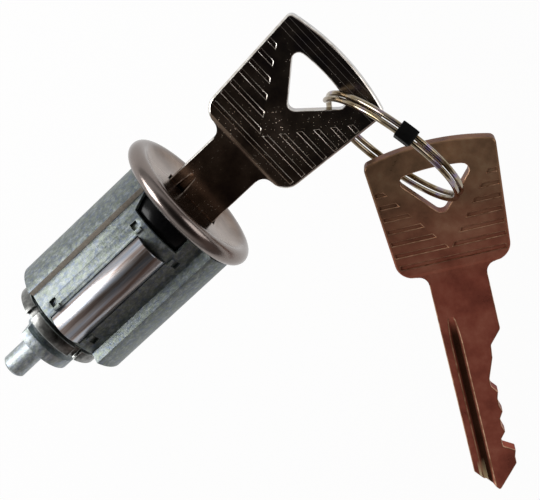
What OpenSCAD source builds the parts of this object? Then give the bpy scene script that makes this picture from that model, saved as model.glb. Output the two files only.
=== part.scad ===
// Ignition lock cylinder with its key, a split ring and a spare key.
// X runs along the lock's axis, out of the key hole. The origin is on that axis, at the back of the cap.
// Angles round the lock start at +Z and grow towards -Y.

/* [Cap] */
// Radius of the cap on the plug's head
cap_r = 11.2; // [10.6:0.1:12]
// Depth of the cap from back to front
cap_t = 2.6; // [2.4:0.1:3.2]
// Depth of the dish in the cap's face
cap_dish = 0.7; // [0.3:0.05:0.9]
// Radius of the dish's flat floor
cap_floor_r = 7.6; // [6:0.1:8.4]
// Sheet thickness of the cap at the dish
cap_sheet = 0.6; // [0.4:0.05:0.8]
// How far the cap's back lip reaches in from the lands' radius to the plug's head
cap_lip = 0.3; // [0.2:0.05:0.5]

/* [Housing] */
// Distance from the cap's back to the housing's rear end
housing_len = 22.4; // [21.5:0.1:23]
// Radius of the two broad lands
land_r = 9.4; // [9:0.1:10]
// Offset of the lands' axis from the bore, towards the key's cuts
land_offset = 0.55; // [0.3:0.05:0.7]
// Radius of the sunk panel that carries the pin cover
panel_r = 8; // [7.9:0.05:8.3]
// Angle of the panel's first edge
panel_from = -45; // [-60:1:-42]
// Angle of the panel's second edge
panel_to = 46; // [43:1:60]
// Running gap between the turning cap and the housing
cap_gap = 0.3; // [0.2:0.05:0.6]
// Angle of the front notch's first edge
notch_from = -36; // [-40:1:-30]
// Spread of the front notch's first edge at the cap, in degrees
notch_spread = 9; // [4:0.5:12]
// Angle of the front notch's second edge
notch_to = 25; // [20:1:35]
// Length of the front notch along the axis
notch_len = 2.9; // [2:0.1:3]
// Width of each staking dent beside the cover
stake_w = 1.1; // [0.8:0.05:1.3]
// Depth of each staking dent
stake_depth = 0.6; // [0.3:0.05:0.8]
// Angle between the cover's middle and a staking dent
stake_angle = 28.5; // [27.5:0.5:30]
// How far the staking dents stand ahead of the cover's ends
stake_ahead = 1.1; // [0.6:0.05:1.3]
// Width of the peened lip between a dent and the cover
stake_lip_w = 0.5; // [0.4:0.05:0.6]
// Height of the peened lip above the panel
stake_lip_h = 0.35; // [0.2:0.05:0.5]

/* [Plug] */
// Radius of the turning plug
plug_r = 5.7; // [5.5:0.05:5.8]
// Running clearance between plug and bore
run_gap = 0.05; // [0.02:0.01:0.1]
// Clearance of fitted pieces that don't turn
seat_gap = 0.05; // [0.03:0.01:0.1]
// Radius of the groove for the retaining ring
groove_r = 5; // [4.9:0.05:5.2]
// Width of the lip behind the groove
groove_lip = 0.4; // [0.3:0.05:0.6]
// Radius of the neck behind the groove
neck_r = 3.4; // [2.8:0.1:4]
// Length of the neck
neck_len = 1.4; // [1:0.1:1.8]
// Radius of the cam collar
cam_r = 5; // [4.6:0.1:5.4]
// Thickness of the cam collar
cam_t = 1.6; // [1.2:0.1:2]
// Distance from the axis to the cam collar's flat
cam_flat = 2.9; // [2.75:0.05:3.5]
// Radius of the boss at the drive pin's root
boss_r = 2.6; // [2.3:0.05:2.8]
// Length of the boss
boss_len = 1.5; // [1:0.1:2]
// Radius of the drive pin
drive_r = 1.85; // [1.6:0.05:2]
// Length of the drive pin
drive_len = 4.5; // [3.5:0.1:6]
// Chamfer at the drive pin's end
drive_chamfer = 0.35; // [0.2:0.05:0.5]

/* [Retaining ring] */
// Outer radius of the retaining ring
clip_r = 7; // [6.6:0.1:7.4]
// Thickness of the retaining ring
clip_t = 1.8; // [1.4:0.1:2]
// Gap between the housing's end and the retaining ring
clip_gap = 0.95; // [0.6:0.05:1.2]
// Width of the ring's mouth
clip_mouth = 7; // [5:0.2:8]
// Width of each plier notch in the ring's rim
clip_notch_w = 1.2; // [0.8:0.1:1.6]
// Depth of each plier notch
clip_notch_depth = 0.7; // [0.4:0.1:1]
// Angle of each plier notch from the top
clip_notch_angle = 36; // [25:1:50]

/* [Bush] */
// Wall thickness of the black bush behind the cap
bush_wall = 1.6; // [1.3:0.05:1.7]
// Length of the bush
bush_len = 3.2; // [2.9:0.1:3.3]
// How far the bush's outside swells at mid-length
bush_crown = 0.25; // [0.1:0.05:0.4]

/* [Pins] */
// Radius of the pins
pin_r = 0.95; // [0.8:0.05:1.05]
// Distance from the cap's back to the first pin
pin_first = 6.6; // [6.4:0.1:6.9]
// Distance from pin to pin
pin_pitch = 3.3; // [3.2:0.05:3.4]
// Length of a driver pin
driver_len = 1.1; // [0.9:0.05:1.2]
// Free gap that keeps the drivers off the plug
driver_gap = 0.1; // [0.05:0.01:0.2]
// Wire radius of a pin spring
spring_wire_r = 0.12; // [0.1:0.01:0.14]
// Turns of a pin spring
spring_turns = 3; // [2:0.5:3.5]

/* [Pin cover] */
// Angle of the cover's middle line
cover_angle = 5; // [0:1:8]
// Half the cover's width
cover_half_w = 2.65; // [2.45:0.05:2.75]
// Height of the cover's crown above the axis
cover_crown = 9.25; // [9.1:0.05:9.5]
// Height of the cover's foot above the axis
cover_foot = 7.35; // [7.3:0.05:7.45]
// Sheet thickness of the cover
cover_sheet = 0.45; // [0.35:0.05:0.5]
// Distance from the cap's back to the cover
cover_front = 5.1; // [4.9:0.05:5.3]
// Length of the cover
cover_len = 16.9; // [16.6:0.1:17]

/* [Key] */
// Distance from the cap's back to the foot of the key's bow
key_foot_x = 11.8; // [11.5:0.1:12.2]
// Width of the blade
blade_w = 8.4; // [8.2:0.05:8.6]
// Thickness of the blade
blade_t = 2.1; // [1.9:0.05:2.3]
// Thickness of the bow
bow_t = 2.5; // [2.3:0.05:2.7]
// Width of the bow at its foot
bow_foot_w = 16.2; // [15:0.1:17.5]
// Width of the bow at its top corners
bow_top_w = 18.7; // [17.9:0.1:19.5]
// Distance from the foot to the top corners
bow_side_h = 17.7; // [17.5:0.1:19]
// Rise of the top edge between its corners
bow_rise = 1.25; // [0.6:0.05:1.8]
// Distance from the foot to the hole's lower point
hole_foot = 8.3; // [8:0.1:8.5]
// Distance from the foot to the hole's upper corners
hole_top = 14.9; // [14.7:0.1:15.2]
// Rise of the hole's upper edge between its corners
hole_rise = 0.6; // [0.4:0.05:0.8]
// Half the width of the hole's upper edge
hole_half_w = 5.75; // [5.6:0.05:6]
// Depth of the grip channels in the bow's faces
grip_depth = 0.25; // [0.15:0.05:0.4]
// Width of a grip channel
grip_w = 0.5; // [0.35:0.05:0.7]
// Distance from channel to channel
grip_pitch = 1.88; // [1.8:0.02:1.94]
// Distance from the foot to the first side channel's upper edge
grip_first = 4.1; // [3.8:0.1:4.3]
// Length of the bevel from the bow's foot down to the blade
foot_bevel = 0.6; // [0.4:0.05:0.8]
// Length of the blade up to the shoulder of its tip
tip_shoulder = 32.1; // [32:0.05:32.4]
// Length of the blade up to its point
tip_len = 36; // [35:0.1:36.4]
// Distance of the point from the blade's middle, towards the uncut edge
tip_offset = 1.05; // [0.5:0.05:1.6]
// Depth of the blade's flute
flute_depth = 0.65; // [0.4:0.05:0.75]
// Width of the blade's flute
flute_w = 1.5; // [1:0.05:1.8]
// Distance of the flute from the blade's middle, towards the uncut edge
flute_offset = 2.3; // [1.9:0.05:2.5]
// Distance from the foot to the flute's cutter run-out
flute_start = 12; // [10:0.1:13]
// Gap between key and keyway
key_gap = 0.12; // [0.08:0.01:0.2]

/* [Split ring] */
// Mean radius of the split ring
ring_r = 11; // [10.9:0.05:11.2]
// Width of its wire along the ring's axis
ring_wire_w = 0.84; // [0.76:0.02:0.88]
// Thickness of its wire across the ring
ring_wire_t = 1; // [0.8:0.05:1.1]
// Lean of the ring from upright
ring_lean = 20.6; // [18:0.2:23]
// Turn of the ring about the vertical
ring_turn = 8.75; // [8:0.25:10]
// Length of the black sleeve round the ring
sleeve_len = 2.4; // [2:0.1:4]
// Wall thickness of the sleeve
sleeve_wall = 0.25; // [0.2:0.05:0.5]

/* [Spare key] */
// Turn of the spare key about the vertical
spare_turn = 60.5; // [58:0.5:62]
// Rise of the spare key towards its bow
spare_pitch = 5.5; // [5:0.25:6]

/* [Hidden] */
$fn = 96;

// Overshoot of cutting shapes
over = 1;
// Depth of each cut in the key's edge, from the bow to the tip
cut_depths = [3.1, 2.6, 2.9, 3.4, 2.0];
// Half the flat at the bottom of a cut
cut_half = 0.6;
// Height of the crest left between two cuts
cut_crest = 0.3;
// The cut edge before the first pin: distance from the foot, depth, corner radius
cut_lead = [[10.4, 0, 0.8], [12.6, 1.8, 0.6], [14.6, 2.0, 0.5]];
// Corner radii of the bow: foot, top, hole, blade root
bow_foot_round = 2.4;
bow_top_round = 0.9;
hole_round = 0.95;
blade_root_round = 1.2;
// The smooth field round the hole: its point above the foot, and its spread per millimetre
field_foot = 3.1;
field_spread = 0.72;
// Margin of the grip channels inside the bow's side
grip_margin = 0.5;
// Side channels of one face
grip_count = 6;
// Radius of the wheel that cuts the flute
flute_wheel_r = 20;
// Where the ring passes through the key's hole: from the foot, and from the middle towards the cut edge
ring_pass = [13.55, 2.5];
// The spare key's foot, measured from the ring's centre
spare_from_ring = [-5.975, -19.79, -6.45];
// Half the jog where the ring's wire steps over to its second turn, in degrees
ring_jog = 16;
// Place of the sleeve round the ring, in degrees from its lowest point
sleeve_at = 175.6;

cap_in_r = land_r - cap_lip;
head_r = cap_in_r - seat_gap;
head_t = cap_t - cap_dish - cap_sheet;
bore_r = plug_r + run_gap;
bush_out_r = bore_r + bush_wall;
counterbore_r = bush_out_r + seat_gap;
chamber_r = pin_r + seat_gap;
clip_front = housing_len + clip_gap;
clip_back = clip_front + clip_t;
lip_back = clip_back + seat_gap + groove_lip;
cam_front = lip_back + neck_len;
cam_back = cam_front + cam_t;
drive_root = cam_back + boss_len;
drive_end = drive_root + drive_len;
keyway_end = tip_len + key_gap * 2 - key_foot_x;
cover_rise = cover_crown - cover_foot;
cover_bend_r = (pow(cover_half_w, 2) + pow(cover_rise, 2)) / (2 * cover_rise);
cover_axis = cover_crown - cover_bend_r;
stake_xs = [stake_ahead - cover_front - stake_w, stake_ahead - cover_front - cover_len];
pin_xs = [for (i = [0:4]) -(pin_first + pin_pitch * i)];
spring_foot = bore_r + driver_gap + driver_len + seat_gap;
spring_len = cover_crown - cover_sheet - seat_gap - spring_foot;
spring_r = pin_r - spring_wire_r;
ring_axis_turn = [sin(ring_turn), -cos(ring_turn)];
ring_centre = [key_foot_x + ring_pass[0] + ring_r * ring_axis_turn[0],
               -ring_pass[1] + ring_r * ring_axis_turn[1], 0];
spare_foot = ring_centre + spare_from_ring;

// Points of the arc that rounds the corner b between a and c
function corner(a, b, c, r, n = 5) =
  r <= 0 ? [b] :
  let (u = (a - b) / norm(a - b), w = (c - b) / norm(c - b), half = acos(u * w) / 2)
  let (centre = b + (u + w) / norm(u + w) * r / sin(half))
  let (p = b + u * r / tan(half) - centre, q = b + w * r / tan(half) - centre)
  let (start = atan2(p[1], p[0]), sweep = (atan2(q[1], q[0]) - start + 540) % 360 - 180)
  [for (i = [0:n]) centre + r * [cos(start + sweep * i / n), sin(start + sweep * i / n)]];

// An outline whose corners [x, y, radius] are rounded
function rounded(v) = [
  for (i = [0:len(v) - 1])
    let (a = v[(i + len(v) - 1) % len(v)], b = v[i], c = v[(i + 1) % len(v)])
    each corner([a[0], a[1]], [b[0], b[1]], [c[0], c[1]], b[2])
];

// Puts a shape drawn along +Z along +X
module along_x(x = 0) {
  translate([x, 0, 0]) rotate([0, 90, 0]) children();
}

// A round bar along X from x0 to x1
module bar_x(r, x0, x1) {
  along_x(x0) cylinder(h = x1 - x0, r = r);
}

// A wedge round the axis between two angles, from x0 to x1
module wedge(from, to, reach, x0, x1) {
  steps = 4;
  angles = [for (i = [0:steps]) from + (to - from) * i / steps];
  outline = concat([[0, 0]], [for (a = angles) reach * [-cos(a), -sin(a)]]);
  along_x(x0) linear_extrude(x1 - x0) polygon(outline);
}

// A wire of elliptic section along the turns [angle, height], round the Z axis
module coil(r, turns, half_t, half_w, sides) {
  count = len(turns);
  points = [
    for (turn = turns, k = [0:sides - 1])
      let (out = r + half_t * cos(360 * k / sides))
      [out * cos(turn[0]), out * sin(turn[0]), turn[1] + half_w * sin(360 * k / sides)]
  ];
  skin = [
    for (j = [0:count - 2], k = [0:sides - 1])
      let (a = j * sides + k, b = j * sides + (k + 1) % sides)
      each [[a, a + sides, b + sides], [a, b + sides, b]]
  ];
  ends = [[for (k = [0:sides - 1]) k], [for (k = [sides - 1:-1:0]) (count - 1) * sides + k]];
  polyhedron(points, concat(skin, ends), convexity = 6);
}

// The slot that the key's blade runs in
module keyway(x0, x1, gap) {
  translate([x0, -blade_w / 2 - gap, -blade_t / 2 - gap])
    cube([x1 - x0, blade_w + 2 * gap, blade_t + 2 * gap]);
}

// Turned sheet cap with a full round rim, a dished face and the key slot
module cap() {
  color("#cfc4b4") difference() {
    along_x() rotate_extrude() {
      translate([cap_r - cap_t / 2, cap_t / 2]) circle(r = cap_t / 2);
      polygon([[0, 0], [cap_r - cap_t / 2, 0], [cap_r - cap_t / 2, cap_t],
               [cap_floor_r, cap_t - cap_dish], [0, cap_t - cap_dish]]);
    }
    bar_x(cap_in_r, -over, head_t);
    keyway(-over, cap_t + over, key_gap * 2);
  }
}

// Plug with its head, keyway, pin holes, ring groove, cam collar and drive pin
module plug() {
  color("#8f8f8c") difference() {
    union() {
      bar_x(head_r, 0, head_t);
      bar_x(plug_r, -clip_front + seat_gap, over / 2);
      bar_x(groove_r, -clip_back - seat_gap - over / 4, -clip_front + over / 2);
      bar_x(plug_r - run_gap * 4, -lip_back, -clip_back - seat_gap);
      bar_x(neck_r, -cam_front - over / 2, -lip_back + over / 4);
      difference() {
        bar_x(cam_r, -cam_back, -cam_front);
        translate([-cam_back - over, cam_flat, -cam_r]) cube([cam_t + 2 * over, cam_r, 2 * cam_r]);
      }
      along_x(-drive_root) cylinder(h = boss_len + over / 4, r1 = drive_r, r2 = boss_r);
      bar_x(drive_r, -drive_end + drive_chamfer, -drive_root + over / 4);
      along_x(-drive_end) cylinder(h = drive_chamfer, r1 = drive_r - drive_chamfer, r2 = drive_r);
    }
    keyway(-keyway_end, head_t + over, key_gap);
    for (x = pin_xs) {
      translate([x, -blade_w / 2, 0]) rotate([90, 0, 0]) cylinder(h = plug_r, r = chamber_r);
    }
  }
}

// Open snap ring behind the housing, with plier notches
module retaining_ring() {
  color("#9a9a96") difference() {
    bar_x(clip_r, -clip_back, -clip_front);
    bar_x(groove_r + seat_gap, -clip_back - over, -clip_front + over);
    translate([-clip_back - over, -clip_mouth / 2, -clip_r - over])
      cube([clip_t + 2 * over, clip_mouth, clip_r]);
    for (side = [-1, 1]) {
      rotate([side * clip_notch_angle, 0, 0])
        translate([-clip_back - over, -clip_notch_w / 2, clip_r - clip_notch_depth])
        cube([clip_t + 2 * over, clip_notch_w, clip_r]);
    }
  }
}

// Die-cast housing: broad lands, the sunk panel, the front notch, the cover's seat and the pin chambers
module housing() {
  lip_angle = stake_angle - atan((stake_w + stake_lip_w + 2 * seat_gap) / (2 * panel_r));
  notch_end = -cap_gap - notch_len;
  color("#8d9390") difference() {
    union() {
      difference() {
        translate([0, -land_offset, 0]) bar_x(land_r, -housing_len, -cap_gap);
        difference() {
          wedge(panel_from, panel_to, 2 * land_r, -housing_len - over, over);
          bar_x(panel_r, -housing_len - 2 * over, 2 * over);
        }
      }
      for (side = [-1, 1], x = stake_xs) {
        rotate([cover_angle + side * lip_angle, 0, 0])
          translate([x, -stake_lip_w / 2, panel_r - stake_depth])
          cube([stake_w, stake_lip_w, stake_depth + stake_lip_h]);
      }
    }
    bar_x(bore_r, -housing_len - over, over);
    bar_x(counterbore_r, -cap_gap - bush_len - seat_gap, over);
    wedge(notch_from, notch_to, 2 * land_r, notch_end, over);
    rotate([notch_from, 0, 0]) linear_extrude(2 * land_r)
      polygon([[notch_end, -over], [notch_end, 0], [-cap_gap, panel_r * sin(notch_spread)],
               [over, panel_r * sin(notch_spread)], [over, -over]]);
    rotate([cover_angle, 0, 0]) {
      translate([-cover_front - cover_len - seat_gap, -cover_half_w - seat_gap, cover_foot - seat_gap])
        cube([cover_len + 2 * seat_gap, 2 * (cover_half_w + seat_gap), land_r]);
      for (x = pin_xs) {
        translate([x, 0, 0]) cylinder(h = land_r, r = chamber_r);
      }
    }
    for (side = [-1, 1], x = stake_xs) {
      rotate([cover_angle + side * stake_angle, 0, 0])
        translate([x, -stake_w / 2, panel_r - stake_depth])
        cube([stake_w, stake_w, land_r]);
    }
  }
}

// Black moulded bush round the plug, seen through the front notch
module front_bush() {
  crown_r = (pow(bush_len / 2, 2) + pow(bush_crown, 2)) / (2 * bush_crown);
  color("#1a1a1c") along_x(-cap_gap - bush_len) difference() {
    rotate_extrude() intersection() {
      translate([bore_r, 0]) square([bush_wall, bush_len]);
      translate([bush_out_r - crown_r, bush_len / 2]) circle(r = crown_r, $fn = 360);
    }
    translate([0, 0, -over]) cylinder(h = bush_len + 2 * over, r = bore_r);
  }
}

// Bent sheet cover over the springs
module pin_cover() {
  color("#b9b4ad") rotate([cover_angle, 0, 0]) translate([-cover_front - cover_len, 0, 0])
    difference() {
      translate([0, 0, cover_axis]) bar_x(cover_bend_r, 0, cover_len);
      translate([0, 0, cover_axis]) bar_x(cover_bend_r - cover_sheet, -over, cover_len + over);
      translate([-over, -land_r, cover_foot - 2 * land_r])
        cube([cover_len + 2 * over, 2 * land_r, 2 * land_r]);
    }
}

// Pointed pin that stands on a cut of the key, flush with the plug
module key_pin(i) {
  foot = blade_w / 2 - cut_depths[i] + seat_gap;
  point_h = pin_r - cut_half / 2;
  color("#b08d4f") translate([pin_xs[i], -foot, 0]) rotate([90, 0, 0]) {
    cylinder(h = point_h, r1 = cut_half / 2, r2 = pin_r);
    translate([0, 0, point_h - over / 10])
      cylinder(h = plug_r - run_gap * 2 - foot - point_h + over / 10 - pin_r * pin_r / (2 * plug_r),
               r = pin_r);
  }
}

// Driver pin above the plug
module driver_pin(i) {
  color("#b08d4f") rotate([cover_angle, 0, 0])
    translate([pin_xs[i], 0, bore_r + driver_gap]) cylinder(h = driver_len, r = pin_r);
}

// Coil spring between a driver pin and the cover
module pin_spring(i) {
  rise = spring_len - 2 * spring_wire_r;
  step = 30;
  turns = [for (a = [0:step:360 * spring_turns]) [a, rise * a / (360 * spring_turns)]];
  color("#a5a39c") rotate([cover_angle, 0, 0])
    translate([pin_xs[i], 0, spring_foot + spring_wire_r])
    coil(spring_r, turns, spring_wire_r, spring_wire_r, 6);
}

// Outline of the blade, with the cut edge towards -Y and the tip towards -X
function blade_outline() =
  let (edge = blade_w / 2)
  let (lead = [for (p = cut_lead) [-p[0], p[1] - edge, p[2]]])
  let (at = [for (x = pin_xs) x - key_foot_x])
  let (cuts = [
    for (i = [0:4])
      let (y = cut_depths[i] - edge)
      each concat(
        [[at[i] + cut_half, y, 0.25], [at[i] - cut_half, y, i < 4 ? 0.25 : 0]],
        i < 4 ? [[(at[i] + at[i + 1]) / 2, min(y, cut_depths[i + 1] - edge) - cut_crest, 0.2]] : [])
  ])
  rounded(concat(
    [[over, edge, 0], [over, bow_foot_w / 2 - bow_foot_round, 0],
     [0, bow_foot_w / 2 - bow_foot_round, 0], [0, edge, blade_root_round],
     [-tip_shoulder, edge, 0.3], [-tip_len, tip_offset, 0.3], [-tip_shoulder, cut_depths[4] - edge, 0]],
    [for (i = [len(cuts) - 2:-1:0]) cuts[i]],
    [for (i = [len(lead) - 1:-1:0]) lead[i]],
    [[0, -edge, blade_root_round], [0, bow_foot_round - bow_foot_w / 2, 0],
     [over, bow_foot_round - bow_foot_w / 2, 0]]));

// Points of a bowed edge that lies across x, without the ones that its end corners round off
function bowed(x, half_w, rise, skip) =
  let (r = (half_w * half_w + rise * rise) / (2 * rise), half = asin(half_w / r), n = 10)
  [for (i = [skip:n - skip])
    let (a = half - 2 * half * i / n)
    [x + rise - r + r * cos(a), r * sin(a), 0]];

// Outline of the bow, from its foot at x = 0
function bow_outline() =
  let (foot = bow_foot_w / 2, top = bow_top_w / 2)
  rounded(concat([[0, foot, bow_foot_round], [bow_side_h, top, bow_top_round]],
                 bowed(bow_side_h, top, bow_rise, 1),
                 [[bow_side_h, -top, bow_top_round], [0, -foot, bow_foot_round]]));

// Outline of the hole in the bow
function hole_outline() =
  rounded(concat([[hole_foot, 0, hole_round], [hole_top, hole_half_w, hole_round]],
                 bowed(hole_top, hole_half_w, hole_rise, 2),
                 [[hole_top, -hole_half_w, hole_round]]));

// Half width of the bow at a distance from its foot
function bow_half(x) = bow_foot_w / 2 + (bow_top_w - bow_foot_w) / 2 * x / bow_side_h;

// Grip channels of one face: one right across the foot, the rest beside the smooth field
module grip() {
  across = grip_first - grip_pitch;
  inset = grip_margin + max(0, bow_foot_round - across + grip_w / 2) / 2;
  polygon([[across - grip_w, inset - bow_half(across)], [across, inset - bow_half(across)],
           [across, bow_half(across) - inset], [across - grip_w, bow_half(across) - inset]]);
  for (side = [-1, 1], i = [0:grip_count - 1]) {
    top = grip_first + grip_pitch * i;
    low = top - grip_w;
    polygon([[low, side * field_spread * (low - field_foot)], [top, side * field_spread * (top - field_foot)],
             [top, side * (bow_half(top) - grip_margin)], [low, side * (bow_half(low) - grip_margin)]]);
  }
}

// One flute: a straight groove to the tip and the round run-out of its wheel
module flute(offset_y, wheel_x) {
  floor_z = blade_t / 2 - flute_depth;
  section = [[-flute_w / 4, 0], [flute_w / 4, 0], [flute_w / 2, flute_depth], [flute_w / 2, blade_t],
             [-flute_w / 2, blade_t], [-flute_w / 2, flute_depth]];
  translate([-tip_len - over, offset_y, floor_z]) rotate([90, 0, 90])
    linear_extrude(tip_len + over - wheel_x) polygon(section);
  translate([-wheel_x, offset_y, floor_z + flute_wheel_r]) rotate([90, 0, 0]) rotate_extrude()
    polygon([[0, -flute_w / 2], [flute_wheel_r - flute_depth, -flute_w / 2], [flute_wheel_r, -flute_w / 4],
             [flute_wheel_r, flute_w / 4], [flute_wheel_r - flute_depth, flute_w / 2], [0, flute_w / 2]]);
}

// A whole key: foot of the bow at the origin, bow towards +X, cut edge towards -Y
module key_shape() {
  difference() {
    union() {
      difference() {
        translate([0, 0, -blade_t / 2]) linear_extrude(blade_t) polygon(blade_outline());
        flute(flute_offset, flute_start);
      }
      translate([0, 0, -bow_t / 2]) linear_extrude(bow_t) polygon(bow_outline());
    }
    translate([0, 0, -bow_t]) linear_extrude(2 * bow_t) polygon(hole_outline());
    for (side = [0, 1]) {
      mirror([0, 0, side]) {
        translate([0, 0, bow_t / 2 - grip_depth]) linear_extrude(bow_t) grip();
        translate([0, bow_foot_w, 0]) rotate([90, 0, 0]) linear_extrude(2 * bow_foot_w)
          polygon([[-over, blade_t / 2], [0, blade_t / 2], [foot_bevel, bow_t / 2], [foot_bevel, bow_t],
                   [-over, bow_t]]);
      }
    }
  }
}

// Key in the plug
module key() {
  color("#8a8276") translate([key_foot_x, 0, 0]) key_shape();
}

// Spare key on the ring, its tip on the ground and its bow held up by the ring
module spare_key() {
  color("#7a4a35") translate(spare_foot) rotate([0, -spare_pitch, spare_turn]) key_shape();
}

// Puts a shape drawn round Z on the split ring's axis
module on_ring() {
  translate(ring_centre) rotate([0, 0, ring_turn]) rotate([0, 90 + ring_lean, 0]) children();
}

// Split ring: two turns of one wire that step past each other at the jog
module split_ring() {
  step = 8;
  half_rise = ring_wire_w / 2 + seat_gap / 2;
  turns = [
    for (a = [ring_jog + step:step:720 - ring_jog - step])
      let (part = max(-1, min(1, (a - 360) / ring_jog)))
      [a, half_rise * sin(90 * part)]
  ];
  color("#b5a98f") on_ring() rotate([0, 0, 60])
    coil(ring_r, turns, ring_wire_t / 2, ring_wire_w / 2, 8);
}

// Black sleeve round both wires at the top of the ring
module ring_sleeve() {
  in_w = 2 * ring_wire_w + 3 * seat_gap;
  in_t = ring_wire_t + 2 * seat_gap;
  sweep = 360 * sleeve_len / (2 * PI * ring_r);
  color("#18181a") on_ring() rotate([0, 0, sleeve_at - sweep / 2]) rotate_extrude(angle = sweep)
    translate([ring_r, 0]) difference() {
      square([in_t + 2 * sleeve_wall, in_w + 2 * sleeve_wall], center = true);
      square([in_t, in_w], center = true);
    }
}

cap();
plug();
retaining_ring();
housing();
front_bush();
pin_cover();
for (i = [0:4]) {
  key_pin(i);
  driver_pin(i);
  pin_spring(i);
}
key();
split_ring();
ring_sleeve();
spare_key();
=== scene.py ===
import math

import bmesh
import bpy
from mathutils import Euler, Matrix, Vector


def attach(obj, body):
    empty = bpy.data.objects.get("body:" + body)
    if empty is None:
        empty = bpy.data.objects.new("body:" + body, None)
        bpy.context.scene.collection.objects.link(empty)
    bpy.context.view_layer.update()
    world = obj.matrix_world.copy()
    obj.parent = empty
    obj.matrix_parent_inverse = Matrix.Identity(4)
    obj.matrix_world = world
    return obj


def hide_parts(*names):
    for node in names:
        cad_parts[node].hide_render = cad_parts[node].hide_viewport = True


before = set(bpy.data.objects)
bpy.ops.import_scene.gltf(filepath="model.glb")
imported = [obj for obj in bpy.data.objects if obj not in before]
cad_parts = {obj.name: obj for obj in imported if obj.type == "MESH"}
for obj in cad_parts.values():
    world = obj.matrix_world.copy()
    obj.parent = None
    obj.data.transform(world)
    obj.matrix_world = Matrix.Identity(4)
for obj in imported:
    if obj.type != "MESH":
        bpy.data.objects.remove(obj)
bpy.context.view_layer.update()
mm = 0.001
weldGap = 0.002 * mm
flatAngle = math.radians(1)
# a wave texture repeats after this length at scale 1
waveTurn = 0.314
# where most of a noise texture's values lie
noiseSpan = {"From Min": 0.3, "From Max": 0.7}


def linear(code):
    # sRGB hex to the linear values that the shader sockets take
    parts = [int(code[i:i + 2], 16) / 255 for i in (1, 3, 5)]
    return tuple(c / 12.92 if c <= 0.04045 else ((c + 0.055) / 1.055) ** 2.4 for c in parts) + (1.0,)


def addNode(tree, kind, settings=None, values=None, links=None, stops=None):
    # stops are a colour ramp's (position, hex) pairs
    node = tree.nodes.new(kind)
    for name, value in (settings or {}).items():
        setattr(node, name, value)
    for socket, value in (values or {}).items():
        node.inputs[socket].default_value = value
    for socket, source in (links or {}).items():
        tree.links.new(source, node.inputs[socket])
    for i, (place, code) in enumerate(stops or []):
        ramp = node.color_ramp.elements
        element = ramp[i] if i < 2 else ramp.new(place)
        element.position = place
        element.color = linear(code)
    return node


def newMaterial(name):
    material = bpy.data.materials.new(name)
    material.use_nodes = True
    tree = material.node_tree
    return material, tree, tree.nodes["Principled BSDF"]


def addObject(name, data):
    made = bpy.data.objects.new(name, data)
    bpy.context.scene.collection.objects.link(made)
    return made


def meshFrom(shape, name):
    mesh = bpy.data.meshes.new(name)
    shape.to_mesh(mesh)
    shape.free()
    return mesh


def perMm(size):
    # texture scale for features of a real size in millimetres
    return 1 / (size * mm)


print("materials")

zincLook = {"dark": "#3b4041", "body": "#757b7a", "light": "#b7bcbb", "blue": "#5e6a84", "green": "#7e8774"}
# the plug's copy of the cast zinc is painted lighter: a painted highlight standing in for its polished pin's
# shine
highlightPlugLook = {"dark": "#4e5457", "body": "#9ca2a3", "light": "#e2e5e6", "blue": "#929eb4", "green": "#9aa496"}
# both castings: pattern sizes in mm, the flow marks' scale along X, and the tints' share of the colour
castGrain = {"flow": 0.7, "tint": 0.6, "grit": 0.3, "stretch": 0.7, "tintShare": 0.5}


def castZincFinish(name, look):
    # die-cast zinc, tumbled: a grey skin with flow marks and cold tints under 1 mm wide, and a grit
    grain = castGrain
    material, tree, shader = newMaterial(name)
    place = addNode(tree, "ShaderNodeTexCoord").outputs["Object"]
    # the metal flowed along the barrel, so the marks are drawn out along X
    along = addNode(tree, "ShaderNodeMapping", {}, {"Scale": (grain["stretch"], 1.0, 1.0)},
                    {"Vector": place})
    flow = addNode(tree, "ShaderNodeTexNoise", {},
                   {"Scale": perMm(grain["flow"]), "Detail": 8.0, "Roughness": 0.8, "Distortion": 0.3},
                   {"Vector": along.outputs["Vector"]})
    grey = addNode(tree, "ShaderNodeValToRGB", {}, {}, {"Fac": flow.outputs["Fac"]},
                   [(0.34, look["dark"]), (0.5, look["body"]), (0.64, look["light"])])
    tint = addNode(tree, "ShaderNodeTexNoise", {},
                   {"Scale": perMm(grain["tint"]), "Detail": 5.0, "Roughness": 0.75}, {"Vector": place})
    cold = addNode(tree, "ShaderNodeValToRGB", {}, {}, {"Fac": tint.outputs["Fac"]},
                   [(0.38, look["blue"]), (0.5, look["body"]), (0.62, look["green"])])
    mixed = addNode(tree, "ShaderNodeMix", {"data_type": "RGBA"}, {0: grain["tintShare"]},
                    {6: grey.outputs["Color"], 7: cold.outputs["Color"]})
    tree.links.new(mixed.outputs[2], shader.inputs["Base Color"])
    rough = addNode(tree, "ShaderNodeMapRange", {}, {**noiseSpan, "To Min": 0.42, "To Max": 0.62},
                    {"Value": flow.outputs["Fac"]})
    tree.links.new(rough.outputs["Result"], shader.inputs["Roughness"])
    # the grit is coarser than the real skin's, so that it shows
    grit = addNode(tree, "ShaderNodeTexNoise", {}, {"Scale": perMm(grain["grit"]), "Detail": 4.0},
                   {"Vector": place})
    bump = addNode(tree, "ShaderNodeBump", {}, {"Strength": 0.6, "Distance": 0.05 * mm},
                   {"Height": grit.outputs["Fac"]})
    wave = addNode(tree, "ShaderNodeBump", {}, {"Strength": 0.4, "Distance": 0.06 * mm},
                   {"Height": flow.outputs["Fac"], "Normal": bump.outputs["Normal"]})
    tree.links.new(wave.outputs["Normal"], shader.inputs["Normal"])
    shader.inputs["Metallic"].default_value = 1.0
    return material


# sizes in mm; the rim's are distances from the axis
capLook = {"body": "#7b6b60", "warm": "#5e4d42", "pale": "#96867b", "rim": "#817b79",
           "rimFrom": 8.8, "rimTo": 9.6, "rimReflectionShare": 0.65, "patch": 6.0, "ringGap": 1.57}


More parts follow.
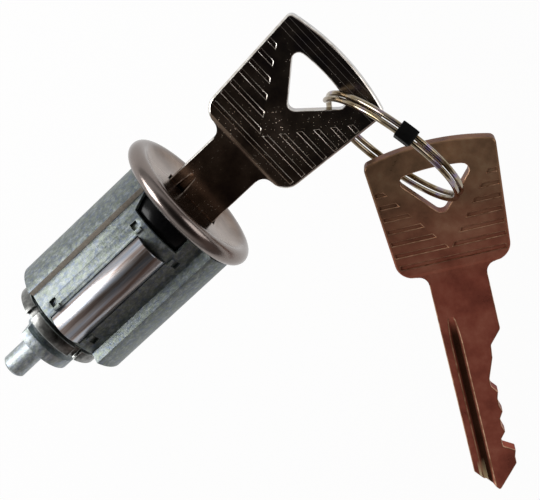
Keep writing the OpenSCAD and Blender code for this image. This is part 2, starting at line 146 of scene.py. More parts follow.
def polishedCapFinish(look):
    # stainless sheet, spun and polished: rings round the axis, soft rubbed patches, and painted reflections:
    # warm on the face, cooler silver on the rim
    material, tree, shader = newMaterial("spunPolishedSteel")
    place = addNode(tree, "ShaderNodeTexCoord").outputs["Object"]
    rub = addNode(tree, "ShaderNodeTexNoise", {},
                  {"Scale": perMm(look["patch"]), "Detail": 5.0, "Roughness": 0.6}, {"Vector": place})
    tone = addNode(tree, "ShaderNodeValToRGB", {}, {}, {"Fac": rub.outputs["Fac"]},
                   [(0.32, look["warm"]), (0.5, look["body"]), (0.7, look["pale"])])
    # the round rim is painted a cooler silver, a painted reflection
    cross = addNode(tree, "ShaderNodeMapping", {}, {"Scale": (0.0, 1.0, 1.0)}, {"Vector": place})
    reach = addNode(tree, "ShaderNodeVectorMath", {"operation": "LENGTH"}, {}, {0: cross.outputs["Vector"]})
    paintedRimReflection = addNode(tree, "ShaderNodeMapRange", {"clamp": True},
                    {"From Min": look["rimFrom"] * mm, "From Max": look["rimTo"] * mm,
                     "To Max": look["rimReflectionShare"]}, {"Value": reach.outputs["Value"]})
    toned = addNode(tree, "ShaderNodeMix", {"data_type": "RGBA"}, {7: linear(look["rim"])},
                    {0: paintedRimReflection.outputs["Result"], 6: tone.outputs["Color"]})
    tree.links.new(toned.outputs[2], shader.inputs["Base Color"])
    rough = addNode(tree, "ShaderNodeMapRange", {}, {**noiseSpan, "To Min": 0.18, "To Max": 0.3},
                    {"Value": rub.outputs["Fac"]})
    tree.links.new(rough.outputs["Result"], shader.inputs["Roughness"])
    # the rings are wider than real polishing lines, so that they show
    rings = addNode(tree, "ShaderNodeTexWave", {"wave_type": "RINGS", "rings_direction": "X"},
                    {"Scale": waveTurn * perMm(look["ringGap"]), "Distortion": 1.5, "Detail": 2.0},
                    {"Vector": place})
    bump = addNode(tree, "ShaderNodeBump", {}, {"Strength": 0.08, "Distance": 0.02 * mm},
                   {"Height": rings.outputs["Fac"]})
    tree.links.new(bump.outputs["Normal"], shader.inputs["Normal"])
    shader.inputs["Metallic"].default_value = 1.0
    return material


# the streaks' width in mm, and their scale along X
coverLook = {"dark": "#6d625d", "brown": "#8b7d77", "body": "#aaa6a6", "blue": "#a6aebb", "white": "#cfcfd1",
             "streak": 0.9, "stretch": 0.05}


def drawnCoverReflectionStreaks(look):
    # drawn steel strip, polished lengthways: long thin streaks whose brown, blue and white are painted
    # reflections
    material, tree, shader = newMaterial("drawnSteelReflectionStreaks")
    place = addNode(tree, "ShaderNodeTexCoord").outputs["Object"]
    along = addNode(tree, "ShaderNodeMapping", {}, {"Scale": (look["stretch"], 1.0, 1.0)}, {"Vector": place})
    streak = addNode(tree, "ShaderNodeTexNoise", {},
                     {"Scale": perMm(look["streak"]), "Detail": 4.0, "Roughness": 0.6},
                     {"Vector": along.outputs["Vector"]})
    tone = addNode(tree, "ShaderNodeValToRGB", {}, {}, {"Fac": streak.outputs["Fac"]},
                   [(0.28, look["dark"]), (0.4, look["brown"]), (0.5, look["body"]), (0.6, look["blue"]),
                    (0.7, look["white"])])
    tree.links.new(tone.outputs["Color"], shader.inputs["Base Color"])
    rough = addNode(tree, "ShaderNodeMapRange", {}, {"To Min": 0.26, "To Max": 0.38},
                    {"Value": streak.outputs["Fac"]})
    tree.links.new(rough.outputs["Result"], shader.inputs["Roughness"])
    bump = addNode(tree, "ShaderNodeBump", {}, {"Strength": 0.05, "Distance": 0.03 * mm},
                   {"Height": streak.outputs["Fac"]})
    tree.links.new(bump.outputs["Normal"], shader.inputs["Normal"])
    shader.inputs["Metallic"].default_value = 1.0
    return material


# marks on both keys in mm: x runs from the bow's foot to its top, y across, z through the thickness
keyMarks = {"patch": 4.0, "bowFrom": -2.0, "bowTo": 14.0, "speckGap": 0.7, "scratchGap": 0.8,
            "scratchFrom": 15.2, "scratchTo": 15.4, "fluteAt": 2.3, "fluteHalf": 0.8, "fluteFrom": -5.0,
            "fluteDarkFrom": 0.9, "fluteDarkFull": 0.5, "overMiddle": 0.3, "wornFrom": -30.4, "wornTo": -33.2,
            "wornAt": 2.95, "wornHalf": 0.55}
# the largest speck's radius as a share of the specks' gap, and how much rougher the dull patches are
keyShares = {"speck": 0.07, "dull": 0.14}


def keyFinish(key):
    # nickel-plated brass, blanked and coined: dark bright plate with pin-prick specks and a flute darkened
    # towards its floor
    at = {name: size * mm for name, size in keyMarks.items()}
    material, tree, shader = newMaterial(key["finish"])
    place = addNode(tree, "ShaderNodeTexCoord").outputs["Object"]
    toKey = addNode(tree, "ShaderNodeMapping", {"vector_type": "TEXTURE"},
                    {"Location": key["foot"], "Rotation": key["turn"]}, {"Vector": place}).outputs["Vector"]
    axes = addNode(tree, "ShaderNodeSeparateXYZ", {}, {}, {"Vector": toKey})
    patch = addNode(tree, "ShaderNodeTexNoise", {},
                    {"Scale": perMm(keyMarks["patch"]), "Detail": 6.0, "Roughness": 0.62}, {"Vector": toKey})
    bowTone = addNode(tree, "ShaderNodeValToRGB", {}, {}, {"Fac": patch.outputs["Fac"]},
                      [(0.32, key["bowDark"]), (0.5, key["bow"]), (0.7, key["bowLight"])])
    bladeTone = addNode(tree, "ShaderNodeValToRGB", {}, {}, {"Fac": patch.outputs["Fac"]},
                        [(0.32, key["bladeDark"]), (0.5, key["blade"]), (0.7, key["bladeLight"])])
    onBow = addNode(tree, "ShaderNodeMapRange", {"clamp": True},
                    {"From Min": at["bowFrom"], "From Max": at["bowTo"]}, {"Value": axes.outputs["X"]})
    tone = addNode(tree, "ShaderNodeMix", {"data_type": "RGBA"}, {},
                   {0: onBow.outputs["Result"], 6: bladeTone.outputs["Color"], 7: bowTone.outputs["Color"]})
    # pale dust in the pits: specks under 0.1 mm across, gathered in some places
    dots = addNode(tree, "ShaderNodeTexVoronoi", {"voronoi_dimensions": "2D"},
                   {"Scale": perMm(keyMarks["speckGap"])}, {"Vector": toKey})
    size = addNode(tree, "ShaderNodeMapRange", {"clamp": True},
                   {"From Min": 0.48, "From Max": 0.7, "To Min": 0.0, "To Max": keyShares["speck"]},
                   {"Value": patch.outputs["Fac"]})
    speck = addNode(tree, "ShaderNodeMath", {"operation": "LESS_THAN"}, {},
                    {0: dots.outputs["Distance"], 1: size.outputs["Result"]})
    dust = addNode(tree, "ShaderNodeMath", {"operation": "MULTIPLY"}, {1: key["specks"]},
                   {0: speck.outputs["Value"]})
    # handling scratches along the bow's top, about 0.07 mm wide
    lines = addNode(tree, "ShaderNodeTexWave", {"bands_direction": "X"},
                    {"Scale": waveTurn * perMm(keyMarks["scratchGap"]), "Distortion": 0.3}, {"Vector": toKey})
    thin = addNode(tree, "ShaderNodeMapRange", {"clamp": True}, {"From Min": 0.98, "From Max": 1.0},
                   {"Value": lines.outputs["Fac"]})
    high = addNode(tree, "ShaderNodeMapRange", {"clamp": True},
                   {"From Min": at["scratchFrom"], "From Max": at["scratchTo"], "To Max": key["scratches"]},
                   {"Value": axes.outputs["X"]})
    scratch = addNode(tree, "ShaderNodeMath", {"operation": "MULTIPLY"}, {},
                      {0: thin.outputs["Result"], 1: high.outputs["Result"]})
    dot = addNode(tree, "ShaderNodeMath", {"operation": "MAXIMUM"}, {},
                  {0: dust.outputs["Value"], 1: scratch.outputs["Value"]})
    specked = addNode(tree, "ShaderNodeMix", {"data_type": "RGBA"}, {7: linear(key["bare"])},
                      {0: dot.outputs["Value"], 6: tone.outputs[2]})
    # the flute is darkened towards its floor, which lies 0.4 mm over the key's middle plane
    deep = addNode(tree, "ShaderNodeMapRange", {"clamp": True},
                   {"From Min": at["fluteDarkFrom"], "From Max": at["fluteDarkFull"], "To Max": key["fluteDarkShare"]},
                   {"Value": axes.outputs["Z"]})
    above = addNode(tree, "ShaderNodeMath", {"operation": "GREATER_THAN"}, {1: at["overMiddle"]},
                    {0: axes.outputs["Z"]})
    across = addNode(tree, "ShaderNodeMath", {"operation": "COMPARE"}, {1: at["fluteAt"], 2: at["fluteHalf"]},
                     {0: axes.outputs["Y"]})
    onBlade = addNode(tree, "ShaderNodeMath", {"operation": "LESS_THAN"}, {1: at["fluteFrom"]},
                      {0: axes.outputs["X"]})
    inGroove = addNode(tree, "ShaderNodeMath", {"operation": "MULTIPLY"}, {},
                       {0: above.outputs["Value"], 1: across.outputs["Value"]})
    inside = addNode(tree, "ShaderNodeMath", {"operation": "MULTIPLY"}, {},
                     {0: inGroove.outputs["Value"], 1: onBlade.outputs["Value"]})
    inFlute = addNode(tree, "ShaderNodeMath", {"operation": "MULTIPLY"}, {},
                      {0: inside.outputs["Value"], 1: deep.outputs["Result"]})
    fluteDarkened = addNode(tree, "ShaderNodeMix", {"data_type": "RGBA"}, {7: linear(key["fluteDarkColour"])},
                     {0: inFlute.outputs["Value"], 6: specked.outputs[2]})
    # plate worn through to bright brass beside the flute, over about the last 5 mm of the blade
    tip = addNode(tree, "ShaderNodeMapRange", {"clamp": True},
                  {"From Min": at["wornFrom"], "From Max": at["wornTo"], "To Max": key["worn"]},
                  {"Value": axes.outputs["X"]})
    beside = addNode(tree, "ShaderNodeMath", {"operation": "COMPARE"}, {1: at["wornAt"], 2: at["wornHalf"]},
                     {0: axes.outputs["Y"]})
    wear = addNode(tree, "ShaderNodeMath", {"operation": "MULTIPLY"}, {},
                   {0: tip.outputs["Result"], 1: beside.outputs["Value"]})
    worn = addNode(tree, "ShaderNodeMix", {"data_type": "RGBA"}, {7: linear(key["brass"])},
                   {0: wear.outputs["Value"], 6: fluteDarkened.outputs[2]})
    tree.links.new(worn.outputs[2], shader.inputs["Base Color"])
    rough = addNode(tree, "ShaderNodeMapRange", {},
                    {**noiseSpan, "To Min": key["gloss"], "To Max": key["gloss"] + keyShares["dull"]},
                    {"Value": patch.outputs["Fac"]})
    tree.links.new(rough.outputs["Result"], shader.inputs["Roughness"])
    # soft dents as wide as the patches, from years of handling, and the specks' small pits
    dents = addNode(tree, "ShaderNodeBump", {}, {"Strength": key["dents"], "Distance": 0.1 * mm},
                    {"Height": patch.outputs["Fac"]})
    pits = addNode(tree, "ShaderNodeBump", {}, {"Strength": 0.5, "Distance": 0.03 * mm},
                   {"Height": dot.outputs["Value"], "Normal": dents.outputs["Normal"]})
    tree.links.new(pits.outputs["Normal"], shader.inputs["Normal"])
    metal = addNode(tree, "ShaderNodeMapRange", {}, {"To Min": key["metal"], "To Max": 0.0},
                    {"Value": dot.outputs["Value"]})
    tree.links.new(metal.outputs["Result"], shader.inputs["Metallic"])
    shader.inputs["Specular Tint"].default_value = linear(key["glance"])
    shader.inputs["Specular IOR Level"].default_value = key["sheen"]
    return material


def rubbedHighlightEdgeFinish(name, dark, light, roughness):
    # metal rubbed bare along its edges and made paler, partly a painted highlight, duller in places about 1
    # mm long
    material, tree, shader = newMaterial(name)
    place = addNode(tree, "ShaderNodeTexCoord").outputs["Object"]
    breaks = addNode(tree, "ShaderNodeTexNoise", {}, {"Scale": perMm(1.2), "Detail": 4.0}, {"Vector": place})
    tone = addNode(tree, "ShaderNodeValToRGB", {}, {}, {"Fac": breaks.outputs["Fac"]},
                   [(0.34, dark), (0.62, light)])
    tree.links.new(tone.outputs["Color"], shader.inputs["Base Color"])
    shader.inputs["Metallic"].default_value = 1.0
    shader.inputs["Roughness"].default_value = roughness
    return material


def ringFinish(look):
    # nickel-plated spring wire: bright, with a gold or violet cast in places about 2 mm long
    material, tree, shader = newMaterial("nickelSpringWire")
    place = addNode(tree, "ShaderNodeTexCoord").outputs["Object"]
    thin = addNode(tree, "ShaderNodeTexNoise", {}, {"Scale": perMm(2.2), "Detail": 4.0}, {"Vector": place})
    tone = addNode(tree, "ShaderNodeValToRGB", {}, {}, {"Fac": thin.outputs["Fac"]},
                   [(0.34, look["gold"]), (0.5, look["nickel"]), (0.66, look["violet"])])
    tree.links.new(tone.outputs["Color"], shader.inputs["Base Color"])
    # 0.25 mm marks of the drawing, coarser than real ones so that they show
    drawn = addNode(tree, "ShaderNodeTexNoise", {}, {"Scale": perMm(0.25), "Detail": 3.0}, {"Vector": place})
    bump = addNode(tree, "ShaderNodeBump", {}, {"Strength": 0.12, "Distance": 0.02 * mm},
                   {"Height": drawn.outputs["Fac"]})
    tree.links.new(bump.outputs["Normal"], shader.inputs["Normal"])
    shader.inputs["Metallic"].default_value = 1.0
    shader.inputs["Roughness"].default_value = look["roughness"]
    return material


def softFinish(name, dark, light, roughness, sheen):
    # a dielectric with a faint 0.4 mm ripple, for moulded plastic and for a pale painted highlight
    material, tree, shader = newMaterial(name)
    place = addNode(tree, "ShaderNodeTexCoord").outputs["Object"]
    ripple = addNode(tree, "ShaderNodeTexNoise", {}, {"Scale": perMm(0.4), "Detail": 3.0}, {"Vector": place})
    tone = addNode(tree, "ShaderNodeValToRGB", {}, {}, {"Fac": ripple.outputs["Fac"]},
                   [(0.3, dark), (0.7, light)])
    tree.links.new(tone.outputs["Color"], shader.inputs["Base Color"])
    bump = addNode(tree, "ShaderNodeBump", {}, {"Strength": 0.15, "Distance": 0.02 * mm},
                   {"Height": ripple.outputs["Fac"]})
    tree.links.new(bump.outputs["Normal"], shader.inputs["Normal"])
    shader.inputs["Roughness"].default_value = roughness
    shader.inputs["Specular IOR Level"].default_value = sheen
    return material


def platedFinish(name, dark, light, roughness):
    # plated or turned metal: an even skin with small dull patches about 1 mm across
    material, tree, shader = newMaterial(name)
    place = addNode(tree, "ShaderNodeTexCoord").outputs["Object"]
    dull = addNode(tree, "ShaderNodeTexNoise", {}, {"Scale": perMm(1.0), "Detail": 6.0, "Roughness": 0.65},
                   {"Vector": place})
    tone = addNode(tree, "ShaderNodeValToRGB", {}, {}, {"Fac": dull.outputs["Fac"]},
                   [(0.3, dark), (0.68, light)])
    tree.links.new(tone.outputs["Color"], shader.inputs["Base Color"])
    bump = addNode(tree, "ShaderNodeBump", {}, {"Strength": 0.2, "Distance": 0.03 * mm},
                   {"Height": dull.outputs["Fac"]})
    tree.links.new(bump.outputs["Normal"], shader.inputs["Normal"])
    shader.inputs["Metallic"].default_value = 1.0
    shader.inputs["Roughness"].default_value = roughness
    return material


zinc = castZincFinish("tumbledCastZinc", zincLook)
# the plug's zinc is the same cast zinc painted lighter, a painted highlight
highlightPlugZinc = castZincFinish("castZincPaintedLighter", highlightPlugLook)
zincEdgeHighlight = rubbedHighlightEdgeFinish("rubbedZincEdgeHighlight", "#6f7472", "#b9bcb9", 0.36)
capSteel = polishedCapFinish(capLook)
coverSteel = drawnCoverReflectionStreaks(coverLook)
blackGloss = softFinish("blackAcetal", "#050506", "#0c0c0d", 0.2, 0.15)
blackVinyl = softFinish("blackVinyl", "#030303", "#070707", 0.5, 0.1)
paintedStepHighlight = softFinish("paleStepHighlight", "#b3aa9d", "#d2c9bc", 0.5, 0.2)
plated = platedFinish("zincPlate", "#3b3c3b", "#8a8a87", 0.3)
brass = platedFinish("turnedBrass", "#8f6f33", "#c9a964", 0.3)
springSteel = platedFinish("drawnSpringSteel", "#77746e", "#aeaba4", 0.3)

print("dressing the solids")

# node: body finish, edge finish or None, edge width in mm
dressing = {
    "cap": (capSteel, None, 0.12),
    "plug": (highlightPlugZinc, zincEdgeHighlight, 0.12),
    "retaining_ring": (plated, zincEdgeHighlight, 0.1),
    "housing": (zinc, zincEdgeHighlight, 0.14),
    "front_bush": (blackGloss, None, 0.2),
    "pin_cover": (coverSteel, None, 0.08),
    "ring_sleeve": (blackVinyl, None, 0.12),
}
for i in range(1, 6):
    dressing["key_pin_%d" % i] = (brass, None, 0.05)
    dressing["driver_pin_%d" % i] = (brass, None, 0.05)
    dressing["pin_spring_%d" % i] = (springSteel, None, 0)
# edges sharper than this are rounded
roundedAngle = math.radians(28)

for name, (body, edge, width) in dressing.items():
    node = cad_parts[name]
    node.data.materials.clear()
    node.data.materials.append(body)
    for face in node.data.polygons:
        face.use_smooth = True
        face.material_index = 0
    weld = node.modifiers.new("weld", "WELD")
    weld.merge_threshold = weldGap
    if width:
        flat = node.modifiers.new("flat", "DECIMATE")
        flat.decimate_type = "DISSOLVE"
        flat.angle_limit = flatAngle
        rounding = node.modifiers.new("rounding", "BEVEL")
        rounding.limit_method = "ANGLE"
        rounding.angle_limit = roundedAngle
        rounding.width = width * mm
        rounding.segments = 2
        rounding.profile = 0.5
        rounding.harden_normals = True
        rounding.use_clamp_overlap = True
        # the edge colour is paler than the body, partly a painted highlight
        if edge:
            node.data.materials.append(edge)
            rounding.material = 1
    else:
        # the springs' wire is only made smooth
        smooth = node.modifiers.new("smooth", "SUBSURF")
        smooth.levels = smooth.render_levels = 1

# a pale colour painted on the wall between the sunk panel and the land on the +Y side: a painted highlight
# where the step catches light
stepWall = {"node": "housing", "lean": math.radians(46), "near": 0.99, "fromY": 4 * mm, "slot": 2}
wallNormal = Vector((0, -math.cos(stepWall["lean"]), math.sin(stepWall["lean"])))
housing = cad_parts[stepWall["node"]].data
housing.materials.append(paintedStepHighlight)
for face in housing.polygons:
    if face.normal.dot(wallNormal) > stepWall["near"] and face.center.y > stepWall["fromY"]:
        face.material_index = stepWall["slot"]

print("split ring")

ringLook = {"node": "split_ring", "body": "key_ring", "slot": "nickel_steel", "levels": 2,
            "joinFlat": math.radians(3), "joinSkew": math.radians(80),
            "gold": "#6a5736", "nickel": "#978b75", "violet": "#7d7088", "roughness": 0.14}
# a copy of the wire with its triangles joined to quads, so that its shine runs evenly
shape = bmesh.new()
shape.from_mesh(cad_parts[ringLook["node"]].data)
bmesh.ops.remove_doubles(shape, verts=shape.verts, dist=weldGap)
bmesh.ops.join_triangles(shape, faces=shape.faces, angle_face_threshold=ringLook["joinFlat"],
                         angle_shape_threshold=ringLook["joinSkew"])
for face in shape.faces:
    face.smooth = True
    face.material_index = 0
smoothWire = addObject("smoothWire", meshFrom(shape, "smoothWire"))
smoothWire.data.materials.append(ringFinish(ringLook))
smooth = smoothWire.modifiers.new("smooth", "SUBSURF")
smooth.levels = smooth.render_levels = ringLook["levels"]
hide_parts(ringLook["node"])
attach(smoothWire, ringLook["body"])

print("keys")

# lengths in mm from the middle of the bow's foot
# the blank stands a hair outside the bow, and only its soft edge cuts
blankShape = {"footAt": -0.03, "footHalf": 8.13, "footRound": 2.4, "footSegments": 8,
              "sideHeight": 17.73, "topHalf": 9.38, "rise": 1.25, "riseCuts": 15, "topRound": 0.72,
              "topSegments": 6, "half": 1.28, "edge": 0.45, "edgeSegments": 4, "edgeAngle": math.radians(60)}
blockShape = {"from": -40.0, "to": 0.4, "half": 5.75, "thick": 4.0}
filletShape = {"radius": 1.5, "steps": 8, "side": 4.2, "sunk": 0.2, "thick": 2.1}
# width in mm of the small broken edges, the angle from which an edge is broken, and that of a crisp one
keyEdges = {"width": 0.13, "broken": math.radians(35), "crisp": math.radians(24)}
keys = {
    "key": {"foot": (11.8 * mm, 0, 0), "turn": (0, 0, 0), "body": "lock_plug", "slot": "nickel_brass",
            "finish": "darkNickelPlate", "edge": ("rubbedNickelEdgeHighlight", "#b5ada3", "#e6e2dc", 0.22),
            "rimSlot": 1, "bowDark": "#57555e", "bow": "#716a63", "bowLight": "#8a7f74",
            "bladeDark": "#6d5c55", "blade": "#94806f", "bladeLight": "#ab9684",
            "bare": "#c9c4bb", "specks": 0.7, "scratches": 0.3, "fluteDarkColour": "#2b2522", "fluteDarkShare": 0.4,
            "brass": "#b09a72", "worn": 0.3, "gloss": 0.12, "dents": 0.08, "metal": 0.99,
            "glance": "#ffffff", "sheen": 0.5},
    "spare_key": {"foot": (21.0484 * mm, -33.162 * mm, -6.45 * mm),
                  "turn": (0, math.radians(-5.5), math.radians(60.5)),
                  "body": "spare", "slot": "tarnished_nickel",
                  "finish": "tarnishedNickelPlate", "edge": ("rubbedTarnishEdgeHighlight", "#94694f", "#dcb090", 0.36),
                  "rimSlot": 0, "bowDark": "#725944", "bow": "#8c6c53", "bowLight": "#9d8266",
                  "bladeDark": "#85473a", "blade": "#9e5747", "bladeLight": "#ad6a57",
                  "bare": "#d8c3a8", "specks": 0.12, "scratches": 0.0, "fluteDarkColour": "#35281a", "fluteDarkShare": 0.85,
                  "brass": "#ffefc0", "worn": 0.95, "gloss": 0.26, "dents": 0.15, "metal": 0.55,
                  "glance": "#8a6d56", "sheen": 0.1},
}


def thicken(shape, height):
    # turns flat outlines into solids
    lifted = bmesh.ops.extrude_face_region(shape, geom=list(shape.faces))["geom"]
    raised = [v for v in lifted if isinstance(v, bmesh.types.BMVert)]
    bmesh.ops.translate(shape, verts=raised, vec=(0, 0, height))
    bmesh.ops.recalc_face_normals(shape, faces=shape.faces)


def bowBlank(look):
    # the bow's outline with soft edges
    shape = bmesh.new()
    low, high, foot, top = look["footAt"], look["sideHeight"], look["footHalf"], look["topHalf"]
    corners = [shape.verts.new(Vector((x, y, -look["half"])) * mm)
               for x, y in ((low, -foot), (low, foot), (high, top), (high, -top))]
    shape.faces.new(corners)
    bmesh.ops.bevel(shape, geom=corners[:2], offset=look["footRound"] * mm, offset_type="OFFSET",
                    affect="VERTICES", segments=look["footSegments"], profile=0.5, material=-1)
    # the straight top becomes a shallow arch
    nearTop = 0.9 * high * mm
    upper = [e for e in shape.edges if all(v.co.x > nearTop for v in e.verts)]
    bmesh.ops.subdivide_edges(shape, edges=upper, cuts=look["riseCuts"])
    crown = [v for v in shape.verts if v.co.x > nearTop]
    for v in crown:
        v.co.x += look["rise"] * mm * (1 - (v.co.y / (top * mm)) ** 2)
    nearSide = 0.999 * top * mm
    ends = [v for v in crown if abs(v.co.y) > nearSide]
    bmesh.ops.bevel(shape, geom=ends, offset=look["topRound"] * mm, offset_type="OFFSET",
                    affect="VERTICES", segments=look["topSegments"], profile=0.5, material=-1)
    thicken(shape, 2 * look["half"] * mm)
    rim = [e for e in shape.edges
           if e.calc_face_angle() > look["edgeAngle"] and abs(e.verts[0].co.z - e.verts[1].co.z) < mm]
    bmesh.ops.bevel(shape, geom=rim, offset=look["edge"] * mm, offset_type="OFFSET",
                    affect="EDGES", segments=look["edgeSegments"], profile=0.5, material=-1)
    return meshFrom(shape, "bowBlank")


def bladeBlock(look):
    # a plain block round the blade, so that the blank leaves it as it is
    shape = bmesh.new()
    bmesh.ops.create_cube(shape, size=1.0)
    length = look["to"] - look["from"]
    bmesh.ops.scale(shape, verts=shape.verts, vec=(length * mm, 2 * look["half"] * mm, look["thick"] * mm))
    bmesh.ops.translate(shape, verts=shape.verts, vec=((look["from"] + length / 2) * mm, 0, 0))
    return meshFrom(shape, "bladeBlock")


def shoulderFillets(look):
    # the hollow curves between the bow's foot and the blade's sides, sunk into both
    shape = bmesh.new()
    radius, side, sunk = look["radius"], look["side"], look["sunk"]
    outline = [(sunk, side - sunk), (sunk, side + radius)]
    for i in range(look["steps"] + 1):
        angle = i * math.pi / (2 * look["steps"])
        outline += [(radius * (math.cos(angle) - 1), side + radius * (1 - math.sin(angle)))]
    outline += [(-radius, side - sunk)]
    for hand in (1, -1):
        shape.faces.new([shape.verts.new(Vector((x, hand * y, -look["thick"] / 2)) * mm) for x, y in outline])
    thicken(shape, look["thick"] * mm)
    return meshFrom(shape, "shoulderFillets")


def combine(target, operation, tool):
    step = target.modifiers.new(operation.lower(), "BOOLEAN")
    step.operation = operation
    step.solver = "MANIFOLD"
    step.object = tool


blankMesh = bowBlank(blankShape)
blockMesh = bladeBlock(blockShape)
filletMesh = shoulderFillets(filletShape)
for name, key in keys.items():
    # a copy of the key's solid with small broken edges, joined with its fillets and cut by the blank
    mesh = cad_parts[name].data.copy()
    mesh.materials.clear()
    mesh.materials.append(keyFinish(key))
    mesh.materials.append(rubbedHighlightEdgeFinish(*key["edge"]))
    for face in mesh.polygons:
        face.material_index = 0
    shape = bmesh.new()
    shape.from_mesh(mesh)
    bmesh.ops.remove_doubles(shape, verts=shape.verts, dist=weldGap)
    bmesh.ops.dissolve_limit(shape, angle_limit=flatAngle, verts=shape.verts, edges=shape.edges)
    # the small edges, and on the key the outline's rounding, take the paler edge colour, partly a painted
    # highlight
    outer = [e for e in shape.edges
             if len(e.link_faces) == 2 and e.is_convex and e.calc_face_angle() > keyEdges["broken"]]
    bmesh.ops.bevel(shape, geom=outer, offset=keyEdges["width"] * mm, offset_type="OFFSET",
                    affect="EDGES", segments=2, profile=0.5, clamp_overlap=False, material=1)
    shape.to_mesh(mesh)
    shape.free()
    piece = addObject(name + "Rounded", mesh)
    for face in blankMesh.polygons:
        face.material_index = key["rimSlot"]
    blank = addObject("bowBlank", blankMesh)
    block = addObject("bladeBlock", blockMesh)
    fillets = addObject("shoulderFillets", filletMesh)
    for tool in (blank, block, fillets):
        tool.matrix_world = Matrix.Translation(key["foot"]) @ Euler(key["turn"]).to_matrix().to_4x4()
    combine(blank, "UNION", block)
    combine(piece, "UNION", fillets)
    combine(piece, "INTERSECT", blank)
    cutMesh = bpy.data.meshes.new_from_object(piece.evaluated_get(bpy.context.evaluated_depsgraph_get()))
    piece.modifiers.clear()
    piece.data = cutMesh
    for tool in (blank, block, fillets):
        bpy.data.objects.remove(tool)
    for face in cutMesh.polygons:
        face.use_smooth = True
    cutMesh.set_sharp_from_angle(angle=keyEdges["crisp"])
    even = piece.modifiers.new("even", "WEIGHTED_NORMAL")
    even.keep_sharp = True
    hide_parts(name)
    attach(piece, key["body"])

print("floor, light and camera")

# the paper lies under the lowest swing of the spare key
floorLook = {"size": 8.0, "z": -66 * mm, "colour": "#ffffff", "glow": 0.92, "roughness": 0.9, "sheen": 0.1}
sheet = bmesh.new()
bmesh.ops.create_grid(sheet, x_segments=1, y_segments=1, size=floorLook["size"] / 2)
bmesh.ops.translate(sheet, verts=sheet.verts, vec=(0, 0, floorLook["z"]))
floor = addObject("floor", meshFrom(sheet, "floor"))
# white paper that the camera and the metal see as white, with part of the object's shadow
paper, paperTree, paperShader = newMaterial("matWhitePaper")
paperShader.inputs["Base Color"].default_value = linear(floorLook["colour"])
paperShader.inputs["Roughness"].default_value = floorLook["roughness"]
paperShader.inputs["Specular IOR Level"].default_value = floorLook["sheen"]
rays = addNode(paperTree, "ShaderNodeLightPath")
seen = addNode(paperTree, "ShaderNodeMath", {"operation": "MAXIMUM"}, {},
               {0: rays.outputs["Is Camera Ray"], 1: rays.outputs["Is Glossy Ray"]})
seenAll = addNode(paperTree, "ShaderNodeMath", {"operation": "MAXIMUM"}, {},
                  {0: seen.outputs["Value"], 1: rays.outputs["Is Transmission Ray"]})
share = addNode(paperTree, "ShaderNodeMath", {"operation": "MULTIPLY"}, {1: floorLook["glow"]},
                {0: seenAll.outputs["Value"]})
white = addNode(paperTree, "ShaderNodeEmission", {}, {"Color": linear(floorLook["colour"]), "Strength": 1.0})
blend = addNode(paperTree, "ShaderNodeMixShader", {}, {},
                {0: share.outputs["Value"], 1: paperShader.outputs["BSDF"], 2: white.outputs["Emission"]})
paperTree.links.new(blend.outputs["Shader"], paperTree.nodes["Material Output"].inputs["Surface"])
floor.data.materials.append(paper)

# a room that is pale on the window's side and dim overhead, as the polished faces show it
roomLook = {"zenith": "#332e2b", "high": "#6a6662", "side": "#ffffff", "horizon": "#a8a8a8", "strength": 0.8,
            "window": (-0.45, 0.89, 0.0), "nearSide": "#ffffff", "farSide": "#9a8b86"}
world = bpy.data.worlds.new("room")
bpy.context.scene.world = world
world.use_nodes = True
room = world.node_tree
direction = addNode(room, "ShaderNodeTexCoord").outputs["Generated"]
lift = addNode(room, "ShaderNodeSeparateXYZ", {}, {}, {"Vector": direction})
shade = addNode(room, "ShaderNodeValToRGB", {}, {}, {"Fac": lift.outputs["Z"]},
                [(0.05, roomLook["horizon"]), (0.45, roomLook["side"]), (0.6, roomLook["side"]),
                 (0.8, roomLook["high"]), (0.95, roomLook["zenith"])])
facing = addNode(room, "ShaderNodeVectorMath", {"operation": "DOT_PRODUCT"}, {1: roomLook["window"]},
                 {0: direction})
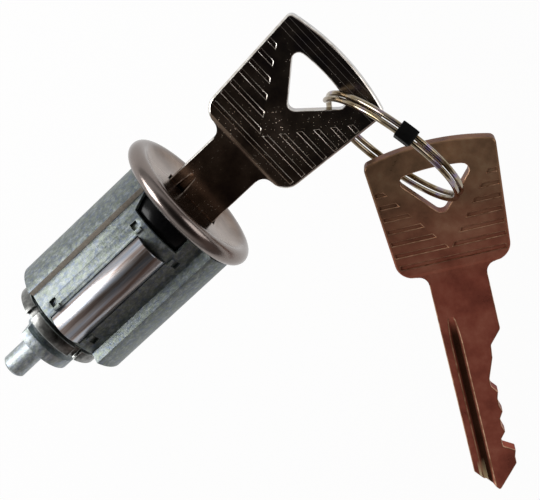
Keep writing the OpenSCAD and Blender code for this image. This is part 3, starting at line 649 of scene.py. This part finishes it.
near = addNode(room, "ShaderNodeMapRange", {"clamp": True}, {"From Min": -0.6, "From Max": 0.4},
               {"Value": facing.outputs["Value"]})
dim = addNode(room, "ShaderNodeMix", {"data_type": "RGBA"},
              {6: linear(roomLook["farSide"]), 7: linear(roomLook["nearSide"])}, {0: near.outputs["Result"]})
lit = addNode(room, "ShaderNodeMix", {"data_type": "RGBA", "blend_type": "MULTIPLY"}, {0: 1.0},
              {6: shade.outputs["Color"], 7: dim.outputs[2]})
backing = room.nodes["Background"]
room.links.new(lit.outputs[2], backing.inputs["Color"])
backing.inputs["Strength"].default_value = roomLook["strength"]

# soft boxes: place in metres, size, power in watts, colour
lamps = {
    "sideBox": ((-0.30, 0.34, 0.22), 0.30, 2.6, "#ffffff"),
    "frontBox": ((0.40, -0.22, 0.26), 0.30, 0.6, "#ffffff"),
}
lampTarget = Vector((0.01, -0.02, 0))
for name, (place, size, power, colour) in lamps.items():
    light = bpy.data.lights.new(name, "AREA")
    light.shape = "SQUARE"
    light.size = size
    light.energy = power
    light.color = linear(colour)[:3]
    lamp = addObject(name, light)
    lamp.location = place
    lamp.rotation_mode = "QUATERNION"
    lamp.rotation_quaternion = (lampTarget - Vector(place)).to_track_quat("-Z", "Y")

cameraLook = {"place": (51.61 * mm, 14.04 * mm, 198.88 * mm), "right": (0.7192, -0.6905, -0.077),
              "up": (0.6566, 0.7117, -0.2497), "back": (0.2272, 0.129, 0.9653), "lens": 98.92, "sensor": 36.0,
              "nearClip": 0.005, "farClip": 10}
lens = bpy.data.cameras.new("camera")
lens.sensor_fit = "HORIZONTAL"
lens.sensor_width = cameraLook["sensor"]
lens.lens = cameraLook["lens"]
lens.clip_start = cameraLook["nearClip"]
lens.clip_end = cameraLook["farClip"]
camera = addObject("camera", lens)
axes = Matrix([cameraLook["right"], cameraLook["up"], cameraLook["back"]]).transposed()
camera.matrix_world = Matrix.Translation(cameraLook["place"]) @ axes.to_quaternion().to_matrix().to_4x4()
bpy.context.scene.camera = camera
bpy.context.scene.view_settings.view_transform = "Standard"

bpy.context.view_layer.update()
